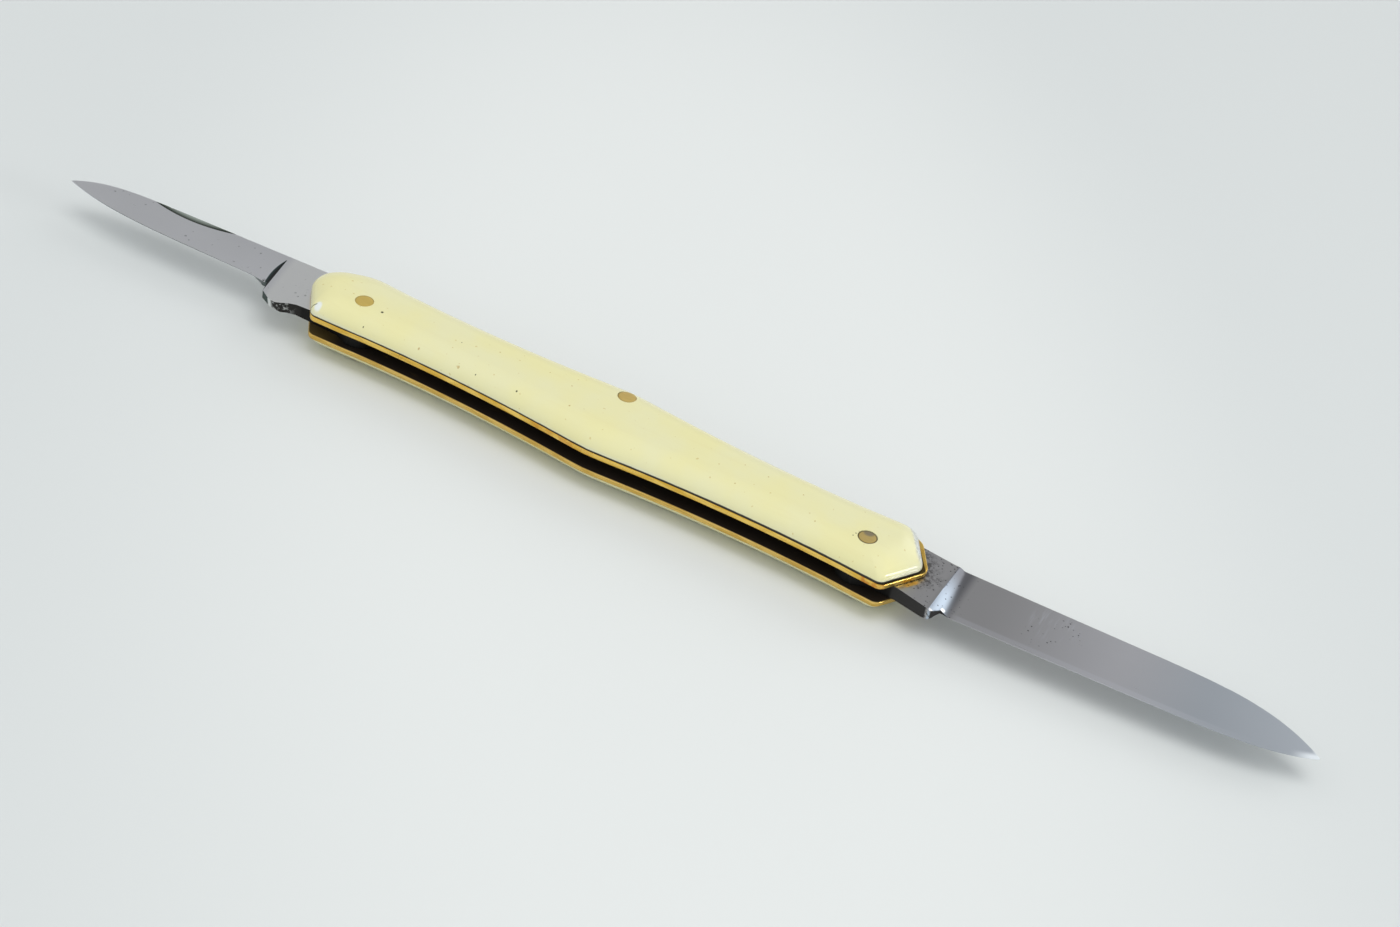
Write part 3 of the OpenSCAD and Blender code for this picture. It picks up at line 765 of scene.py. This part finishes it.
# Specks in the front scale, in the row frame: x, y, radius
DARK_SPECKS = [(-26.26, -1.72, 0.19), (-27.0, -3.86, 0.08), (-13.9, -3.5, 0.08),
               (-9.2, -3.4, 0.12), (-17.38, -0.69, 0.07), (27.55, -1.5, 0.09),
               (27.45, -1.95, 0.08), (27.68, -1.05, 0.06)]
BROWN_SPECKS = [(-3.72, -2.47, 0.13), (-13.58, 0.51, 0.1), (-5.16, 0.49, 0.1),
                (-7.97, 0.96, 0.08), (-15.9, -3.5, 0.16), (-20.6, -3.5, 0.13),
                (17.02, 0.62, 0.1), (14.84, -2.34, 0.1), (14.36, 0.78, 0.08),
                (20.98, 0.39, 0.1), (23.57, -2.36, 0.1), (26.91, 2.05, 0.08)]


def scale_material(name, rim_z, specked):
    """Cream scale with a worn end, a painted sheen at its foot, a chip with a painted highlight,
    and grime and painted shade in its seam against the liner at rim_z.
    """
    material, f = new_material(name)
    at, x, y, z = f.place()
    height = abs(z - rim_z)
    colour = f.between(f.rise(f.noise(at, 0.14, 3.0), 0.35, 0.65), YELLOW_CREAM, CREAM)
    fibre = f.noise(f.stretched(at, (0.12, 2.2, 1.0), -4.0), 1.0, 3.0)
    colour = f.paint(colour, f.rise(fibre, 0.52, 0.75) * 0.05, FIBRE)
    colour = f.paint(colour, f.rise(f.noise(at, 1.9, 1.0), 0.73, 0.79) * 0.45, FLECK)
    if specked:
        for speck in BROWN_SPECKS:
            colour = f.paint(colour, f.spot(*speck) * 0.6, BROWN_SPECK)
        for speck in DARK_SPECKS:
            colour = f.paint(colour, f.spot(*speck) * 0.95, DARK_SPECK)
    # painted sheen: a pale band at the foot, wider at both ends and in the middle of the front
    # flank
    foot = 0.1 + f.fall(x, -35.0, -26.0) * 0.4 + f.rise(x, 31.5, 34.0) * 0.8
    foot = foot + f.spot(4.0, -4.9, 7.0) * 0.12 + f.noise(at, 0.5, 2.0) * 0.1
    colour = f.paint(colour, f.fall(height, foot * 0.4, foot + 0.3) * 0.35, PALE_FOOT_SHEEN)
    # worn, dirty chamfer at the main end
    scuff = f.rise(f.noise(at, 3.0, 5.0, 0.7), 0.42, 0.6)
    chamfer = f.rise(past_line(BACK_CHAMFER, x, y), -1.6, -1.15) * f.rise(y, -0.3, 0.8)
    colour = f.paint(colour, chamfer * 0.75, WORN_END)
    colour = f.paint(colour, chamfer * scuff * 0.65, SCUFF)
    # chip with a painted highlight, and a crack, at the front corner of the pen end
    chip = f.spot(-32.4, -4.0, 0.5) * f.rise(z, 5.3, 5.8)
    colour = f.paint(colour, chip * 0.85, CHIP_HIGHLIGHT)
    off_crack = abs((y + 4.0) - (x + 33.2) * 0.3 + f.noise(at, 3.0) * 0.2 - 0.1)
    crack = f.fall(off_crack, 0.03, 0.08) * f.fall(x, -32.7, -32.55) * f.fall(y, -3.5, -3.3)
    colour = f.paint(colour, crack * 0.8, CRACK)
    # grime and painted shade in the seam, thicker towards the main end
    thick = 0.03 + f.rise(x, -10.0, 25.0) * 0.1 + f.noise(at, 0.8, 2.0) * 0.08
    seam_grime_shade = f.fall(height, thick, thick + 0.1)
    colour = f.paint(colour, seam_grime_shade, SEAM_GRIME_SHADE)
    f.output(f.shader(Base_Color=colour, Roughness=0.14 + seam_grime_shade * 0.3 + chamfer * scuff * 0.2,
                      Normal=f.bump(0.05, 0.02, f.noise(at, 2.0, 3.0)), IOR=1.5))
    return material


# The back liner's tones are a darker copy of the front's brass: painted shade
FRONT_BRASS, BACK_BRASS_SHADED = ((222, 178, 74), (244, 208, 112)), ((206, 168, 84), (226, 192, 110))
# The ledge tone is grime and painted shade
COPPER_STAIN, SCRATCH, LEDGE_GRIME_SHADE = (196, 108, 40), (104, 80, 38), (40, 34, 22)
# Painted shade in the well, and its painted brass glints
WELL_SHADE, WELL_GLINT_BRASS = (28, 18, 6), (80, 64, 18)
PEN_PIN_TONE, SPRING_PIN_TONE, MAIN_PIN_TONE = (206, 178, 92), (204, 176, 100), (186, 162, 96)
# The rivets' shade tone is painted shade, and their ring tone is dirt and painted shade
PIN_SHADE, PIN_RING_DIRT_SHADE = (104, 104, 100), (66, 56, 30)


def brass_material(name, tones):
    """Polished liner edges, with painted shade and painted glints in the well, stains in places,
    and grime and painted shade on a ledge.
    """
    material, f = new_material(name)
    at, x, y, z = f.place()
    cloud = f.noise(f.stretched(at, (0.35, 0.35, 2.0)), 1.2, 3.0)
    colour = f.between(f.rise(cloud, 0.3, 0.7), *tones)
    upper = f.rise(z, MID_Z - 0.1, MID_Z + 0.1)
    stain = f.spot(-3.0, -5.1, 5.0) * 0.35 + f.spot(31.2, -4.7, 1.8) * 0.7
    stain = stain * upper * f.rise(f.noise(at, 1.1, 3.0), 0.4, 0.6)
    colour = f.paint(colour, stain, COPPER_STAIN)
    scratch = f.rise(f.noise(f.stretched(at, (5.0, 0.5, 5.0), 28.0), 2.2, 2.0), 0.58, 0.66)
    scratch = scratch * f.spot(-22.3, -4.7, 2.0) * upper
    colour = f.paint(colour, scratch * 0.6, SCRATCH)
    # grime and painted shade on the ledge behind the front scale's main end
    ledge_grime_shade = f.rise(z, FRONT_SCALE_Z - 0.04, FRONT_SCALE_Z - 0.01)
    ledge_grime_shade = ledge_grime_shade * f.fall(past_line(BACK_CHAMFER, x, y), -0.34, -0.26)
    colour = f.paint(colour, ledge_grime_shade * 0.9, LEDGE_GRIME_SHADE)
    # painted shade on the faces that look into the well, with painted brass glints
    well = f.fall(abs(z - MID_Z), WELL_W / 2, WELL_W / 2 + 0.05)
    glint = f.rise(f.noise(f.stretched(at, (0.5, 2.0, 1.0), -12.0), 1.0, 4.0, 0.7), 0.6, 0.8)
    glint = glint + f.spot(-33.5, -2.5, 4.5) * 0.8
    colour = f.mix(well, colour, f.between(glint, WELL_SHADE, WELL_GLINT_BRASS))
    f.output(f.shader(Base_Color=colour, Metallic=1 - well,
                      Roughness=0.2 + cloud * 0.14 + well * 0.4))
    return material


def pin_material(name, tone, x0, y0, ring, shade=0.0):
    """Matte brass rivet with a ring of dirt and painted shade and, on one side, a painted shaded
    edge.
    """
    material, f = new_material(name)
    at, x, y, z = f.place()
    cloud = f.noise(f.stretched(at, (1.0, 3.0, 1.0), 20.0), 1.5, 4.0)
    colour = f.between(cloud, [c - 12 for c in tone], [c + 8 for c in tone])
    colour = f.paint(colour, f.spot(x0 - 0.15, y0 + 0.75, 0.75) * shade, PIN_SHADE)
    # dark ring round the head: dirt and painted shade
    rim = f.rise(f.distance(x0, y0), PIN_R - 0.16, PIN_R - 0.05)
    colour = f.paint(colour, rim * ring, PIN_RING_DIRT_SHADE)
    f.output(f.shader(Base_Color=colour, Metallic=0.35, Roughness=cloud * 0.15 + 0.36))
    return material


# ---------------------------------------------------------------- steel
MAIN_STEEL, PEN_STEEL, SPRING_STEEL = (196, 196, 200), (221, 222, 225), (120, 120, 122)


def steel_material(name, tone, details=None):
    """Satin steel with fine grinding lines and what details adds to it, and a dull finish where
    details mark dirt and painted shade.
    """
    material, f = new_material(name)
    at, x, y, z = f.place()
    lines = f.noise(f.stretched(at, (0.25, 9.0, 1.0), -3.6), 1.0, 3.0)
    colour = f.between(f.noise(at, 0.14, 3.0), [c - 5 for c in tone], [c + 5 for c in tone])
    roughness = lines * 0.06 + 0.26
    dull = None
    if details:
        colour, roughness, dull = details(f, at, x, y, z, colour, roughness)
    bump = f.bump(0.06, 0.01, lines)
    surface = f.shader(Base_Color=colour, Metallic=1.0, Roughness=roughness, Normal=bump)
    if dull:
        dull_finish = f.shader(Base_Color=colour, Roughness=0.6, Specular_IOR_Level=0.2, Normal=bump)
        surface = f.add("ShaderNodeMixShader", None, dull, surface, dull_finish)
    f.output(surface)
    return material


# The heel tone is painted shade and the far half tone a painted bluish reflection
HEEL_SHADE, MAIN_TANG_TONE, FAR_HALF_REFLECTION = (170, 169, 170), (179, 178, 179), (175, 181, 188)
# The plunge tones are painted shade and a painted reflection
PLUNGE_SHADE, PLUNGE_REFLECTION = (122, 122, 126), (184, 196, 209)
# The edge strip tone is a painted sheen and the tip tone a painted highlight
EDGE_STRIP_SHEEN, TIP_HIGHLIGHT, SMEAR = (220, 222, 230), (240, 246, 250), (214, 216, 224)
# The smudge tone is dirt and painted shade; the gold glint a painted reflection
SMUDGE_AND_SHADE, GOLD_GLINT, MAIN_PIT = (62, 60, 60), (226, 190, 100), (44, 44, 48)
# The wall and inside tones are painted shade, and the bright corner tone painted glints
MAIN_WALL_SHADE, MAIN_INSIDE_SHADE, CORNER_GLINT = (44, 43, 42), (14, 13, 11), (252, 252, 252)


def main_details(f, at, x, y, z, colour, roughness):
    """Dirt and painted shade at the liner, pits, painted reflections on the plunge, edge strip and
    tip, painted glints, and painted shade on the walls of the main blade.
    """
    open_u = x - PIVOT_X
    u, v = turned(open_u, y - PIVOT_Y, -MAIN_CANT)
    up = f.facing_up()
    # tones along the blade: dull tang, bright plunge as a painted reflection with painted shade
    # towards the spine, darker heel as painted shade, and a painted bluish reflection towards the
    # tip
    colour = f.paint(colour, f.fall(u, 12.0, 26.0) * 0.95, HEEL_SHADE)
    colour = f.paint(colour, f.fall(open_u, 7.7, MAIN_TANG), MAIN_TANG_TONE)
    plunge = f.rise(open_u, 8.18, 8.24) * f.fall(open_u, 9.5, 10.6)
    reflection_share = f.fall(open_u + (y + 2.0) * 0.14, 9.0, 10.2) * (1 - f.rise(v, -0.5, 4.2) * 0.9)
    colour = f.mix(plunge, colour, f.between(reflection_share, PLUNGE_SHADE, PLUNGE_REFLECTION))
    colour = f.paint(colour, f.rise(u, 25.0, 36.0), FAR_HALF_REFLECTION)
    # painted sheen on a strip along the edge, standing in for its bevel
    above_edge = v - main_edge(u, f.larger)
    strip_sheen = f.fall(above_edge, 0.55, 0.85) * f.rise(u, 9.8, 11.0) * f.fall(u, 30.0, 42.0)
    colour = f.paint(colour, strip_sheen * 0.25, EDGE_STRIP_SHEEN)
    # painted highlight at the tip
    tip_highlight = f.rise(u, 43.4, 45.6) * f.fall(above_edge, 0.35, 1.1)
    colour = f.paint(colour, f.larger(tip_highlight, f.rise(u, 45.2, 46.2)), TIP_HIGHLIGHT)
    # faint smears across the blade
    smear = f.rise(f.noise(f.stretched(at, (3.0, 0.3, 1.0), 8.0), 1.0, 3.0), 0.5, 0.75)
    colour = f.paint(colour, smear * f.spot(47.6, 2.6, 3.0) * 0.45, SMEAR)
    # dirt and painted shade in front of the liner, and the liner's gold mirrored in the tang as a
    # painted reflection
    past = f.larger(past_line(FRONT_CHAMFER, x, y), past_line(BACK_CHAMFER, x, y))
    close = f.fall(past, 0.2, 2.4)
    smudge_and_shade = f.rise(f.noise(at, 1.6, 6.0, 0.72) + close * 0.12, 0.5, 0.7)
    smudge_and_shade = smudge_and_shade * close * f.rise(y, -2.4, -1.2)
    colour = f.paint(colour, smudge_and_shade * 0.8, SMUDGE_AND_SHADE)
    glint = f.spot(34.25, -1.6, 1.0) * f.rise(past, 0.1, 0.2) * f.fall(past, 0.42, 0.6)
    colour = f.paint(colour, glint * 0.8, GOLD_GLINT)
    # pits near the tang and in two patches of the blade
    patches = f.larger(f.spot(46.9, 0.9, 2.4), f.spot(49.2, 3.2, 1.8))
    near = f.larger(f.fall(u, 9.5, 11.5), patches)
    colour = f.paint(colour, f.pits(at, 0.46, 0.36, 0.5) * near * 0.8, MAIN_PIT)
    # painted shade on the walls of the tang, worn pale at the kick, and on all of it inside the
    # handle
    wall = (1 - up) * f.fall(open_u, 9.6, 10.2)
    worn = f.rise(f.noise(at, 3.0, 5.0, 0.7), 0.36, 0.5)
    worn = worn * f.rise(x, 36.6, 36.8) * f.fall(x, 37.12, 37.22)
    colour = f.paint(colour, wall * (1 - worn * 0.9), MAIN_WALL_SHADE)
    inside = f.fall(past, -0.35, -0.05)
    colour = f.paint(colour, inside, MAIN_INSIDE_SHADE)
    # painted glints at the two top corners of the kick's notch
    corners = f.larger(f.spot(37.17, -3.64, 0.3), f.spot(38.0, -2.35, 0.32)) * up
    colour = f.paint(colour, corners, CORNER_GLINT)
    return colour, roughness + smudge_and_shade * 0.15, f.larger(wall * (1 - worn * 0.5), inside)


PEN_TANG_TONE, TARNISH, PEN_PIT = (236, 237, 236), (90, 90, 92), (80, 80, 80)
# The leaf tones are painted shade
LEAF_SHADE, LEAF_EDGE_SHADE, LEAF_CHIP = (6, 9, 9), (34, 52, 52), (36, 44, 40)
# The nick tones are painted shade
NICK_DEEP_SHADE, NICK_LIGHT_SHADE = (30, 38, 30), (138, 146, 139)
# The wall, inside and kick end tones are painted shade
PEN_WALL_SHADE, PEN_INSIDE_SHADE = (34, 33, 31), (12, 11, 9)
KICK_WORN, KICK_END_SHADE = (206, 209, 207), (58, 70, 66)


def pen_details(f, at, x, y, z, colour, roughness):
    """Painted shade on the plunge, nick and walls, worn kick and pits of the pen blade."""
    u, v = x * -1 - PIVOT_X, y - PIVOT_Y
    up = f.facing_up()
    # bright tang, and a dark leaf of painted shade with a chip at the plunge
    past = pen_past(u, v)
    leaf = leaf_width((v - PEN_LEAF_V) / PEN_LEAF)
    colour = f.paint(colour, f.fall(past, -1.0, 0.0), PEN_TANG_TONE)
    plunge = f.rise(past, -0.02, 0.02) * f.fall(past, leaf * 0.8, leaf)
    plunge = plunge * f.fall(v, 3.95, 4.1) * up
    leaf_shade = f.between(f.rise(past, leaf * 0.3, leaf * 0.9), LEAF_SHADE, LEAF_EDGE_SHADE)
    colour = f.mix(plunge, colour, leaf_shade)
    chip = f.spot(-40.75, -1.3, 0.3) * f.rise(f.noise(at, 3.5, 2.0), 0.42, 0.5)
    colour = f.paint(colour, chip * f.rise(past, 0.1, 0.2) * 0.8, LEAF_CHIP)
    tarnish = f.rise(f.noise(at, 1.4, 5.0, 0.7), 0.55, 0.75) * f.fall(u, 6.5, 9.5)
    colour = f.paint(colour, tarnish * 0.35, TARNISH)
    # nick: painted shade, darkest along its lower edge and lighter towards the spine
    cx, cy = turned(PEN_NICK_U, pen_spine(PEN_NICK_U) + NICK_R - NICK_W, -PEN_CANT)
    depth = NICK_R - f.distance(-PIVOT_X - cx, PIVOT_Y + cy)
    nick = f.rise(depth, -0.03, 0.03) * f.rise(z, MID_Z + 0.1, MID_Z + 0.2)
    colour = f.mix(nick, colour, f.between(f.rise(depth, 0.12, 0.8), NICK_DEEP_SHADE, NICK_LIGHT_SHADE))
    colour = f.paint(colour, f.pits(at, 0.8, 0.52, 0.62) * (1 - nick) * 0.5, PEN_PIT)
    # painted shade on the walls of the tang, pale and worn at the end of the kick, and painted
    # shade inside the handle
    wall = (1 - up) * f.fall(past, -0.05, 0.1) * f.fall(v, 3.0, 4.0)
    island = f.rise(f.noise(at, 1.7, 3.0, 0.6), 0.52, 0.62) * f.rise(u, 6.6, 8.2)
    worn = f.larger(island * 0.6, f.rise(u, 9.0, 9.4))
    colour = f.mix(wall, colour, f.between(worn, PEN_WALL_SHADE, KICK_WORN))
    # painted shade on the end wall of the kick
    kick_end_shade = (1 - up) * f.rise(u, 9.6, 9.8) * f.fall(v, -0.5, 0.5)
    colour = f.paint(colour, kick_end_shade, KICK_END_SHADE)
    inside = f.fall(u, 6.0, 6.5) * (1 - up)
    colour = f.paint(colour, inside, PEN_INSIDE_SHADE)
    return colour, roughness, f.larger(f.larger(wall, inside), f.larger(plunge, nick))


# ---------------------------------------------------------------- stage
def make_camera():
    """Camera at the photographed angle: rows are its right, down and forward directions."""
    right, down, forward = (Vector((0.87108, 0.45851, 0.17605)),
                            Vector((0.40922, -0.47933, -0.77639)),
                            Vector((-0.2716, 0.74834, -0.60516)))
    data = bpy.data.cameras.new("camera")
    data.sensor_fit, data.sensor_width, data.lens = "HORIZONTAL", 36.0, 63.19
    data.clip_start, data.clip_end = 0.01, 50.0
    camera = bpy.data.objects.new("camera", data)
    axes = Matrix((right, -down, -forward)).transposed().to_4x4()
    camera.matrix_world = Matrix.Translation(Vector((75.44, -180.2, 151.1)) * MM) @ axes
    bpy.context.scene.collection.objects.link(camera)
    bpy.context.scene.camera = camera


# The far floor tone is painted shade round a painted pool of light
FLOOR_NEAR, FLOOR_FAR_SHADE = (227, 230, 228), (215, 219, 218)


def make_floor():
    """Pale floor with a painted pool of light, palest in an oval round the middle of the view."""
    bm = bmesh.new()
    bmesh.ops.create_circle(bm, cap_ends=True, segments=96, radius=4000.0)
    bmesh.ops.scale(bm, vec=(MM, MM, MM), verts=bm.verts)
    floor = as_object("floor", bm)
    material, f = new_material("pale_floor")
    at, x, y, z = f.place()
    across = past_line((7.6, 6.7, 0.885, 0.466), x, y) * 1.3
    along = past_line((7.6, 6.7, -0.341, 0.94), x, y) * 0.55
    # painted fall-off of light away from the middle
    far = f.rise((across ** 2 + along ** 2) ** 0.5, 30.0, 95.0)
    f.output(f.shader(Base_Color=f.between(far, FLOOR_NEAR, FLOOR_FAR_SHADE), Roughness=0.9))
    floor.data.materials.append(material)


def make_lights():
    """Soft overhead lamp, and a pale room that is brighter towards the camera's side."""
    data = bpy.data.lights.new("softbox", "AREA")
    data.shape, data.size, data.energy = "SQUARE", 0.4, 1.1
    lamp = bpy.data.objects.new("softbox", data)
    lamp.location = (0.14, -0.07, 0.6)
    lamp.visible_glossy = False
    lamp.rotation_euler = (-lamp.location).to_track_quat("-Z", "Y").to_euler()
    bpy.context.scene.collection.objects.link(lamp)
    world = bpy.data.worlds.new("studio")
    bpy.context.scene.world = world
    f = Finish(world)
    at = f.add("ShaderNodeTexCoord", out="Generated")
    back, up = (f.add("ShaderNodeSeparateXYZ", None, at, out=k) for k in (1, 2))

    def toward(x, y, z, low, high):
        aim = tuple(Vector((x, y, z)).normalized())
        facing = f.add("ShaderNodeVectorMath", {"operation": "DOT_PRODUCT"}, at, aim, out=1)
        return f.rise(facing, low, high)

    level = 0.86 - f.rise(back, -0.3, 0.7) * 0.4
    # large soft window behind the part, to its right
    level = level + toward(0.35, 0.75, 0.56, 0.915, 0.97) * 1.1
    # low window at the right, which the rounded corner of the front scale mirrors
    level = level + toward(0.98, 0.02, 0.19, 0.995, 0.998) * 22.0
    # the pale backdrop low behind the part
    level = level + f.fall(up, 0.05, 0.4) * f.rise(back, 0.2, 0.8) * 0.3
    background = f.add("ShaderNodeBackground", None, (0.97, 0.985, 1.0, 1.0), level)
    f.output(background, "ShaderNodeOutputWorld")


# ---------------------------------------------------------------- the scene
make_camera()
make_floor()
make_lights()

front_finish = scale_material("front_cream", FRONT_SCALE_Z, True)
back_finish = scale_material("back_cream", SCALE_T, False)
front_brass = brass_material("front_brass", FRONT_BRASS)
back_brass_shaded = brass_material("back_brass_shaded", BACK_BRASS_SHADED)
main_steel = steel_material("main_steel", MAIN_STEEL, main_details)
pen_steel = steel_material("pen_steel", PEN_STEEL, pen_details)
spring_steel = steel_material("spring_steel", SPRING_STEEL)

scale_piece("front_scale", FRONT_SCALE_Z, 1, FRONT_INSETS, FRONT_ROUND,
            rivet_holes(0.97, 0.99, 0.99, -0.02), front_finish)
scale_piece("back_scale", SCALE_T, -1, BACK_INSETS, BACK_ROUND,
            rivet_holes(0.98, 0.98, 0.98), back_finish)
liner_piece("front_liner", FRONT_LINER_Z, front_brass)
liner_piece("back_liner", BACK_LINER_Z, back_brass_shaded)
spring_piece(spring_steel)
rivet_piece("pen_pivot_pin", -PIVOT_X, PIVOT_Y, 0.0,
            pin_material("pen_pin_brass", PEN_PIN_TONE, -PIVOT_X, PIVOT_Y, 0.15))
rivet_piece("spring_pin", 0, SPRING_PIN_Y, 0.01,
            pin_material("spring_pin_brass", SPRING_PIN_TONE, 0, SPRING_PIN_Y, 0.3))
rivet_piece("main_pivot_pin", PIVOT_X, PIVOT_Y, 0.03,
            pin_material("main_pin_brass", MAIN_PIN_TONE, PIVOT_X, PIVOT_Y, 0.85, 0.7))
main_blade_piece(main_steel)
pen_blade_piece(pen_steel)

bpy.context.scene.view_settings.view_transform = "Standard"
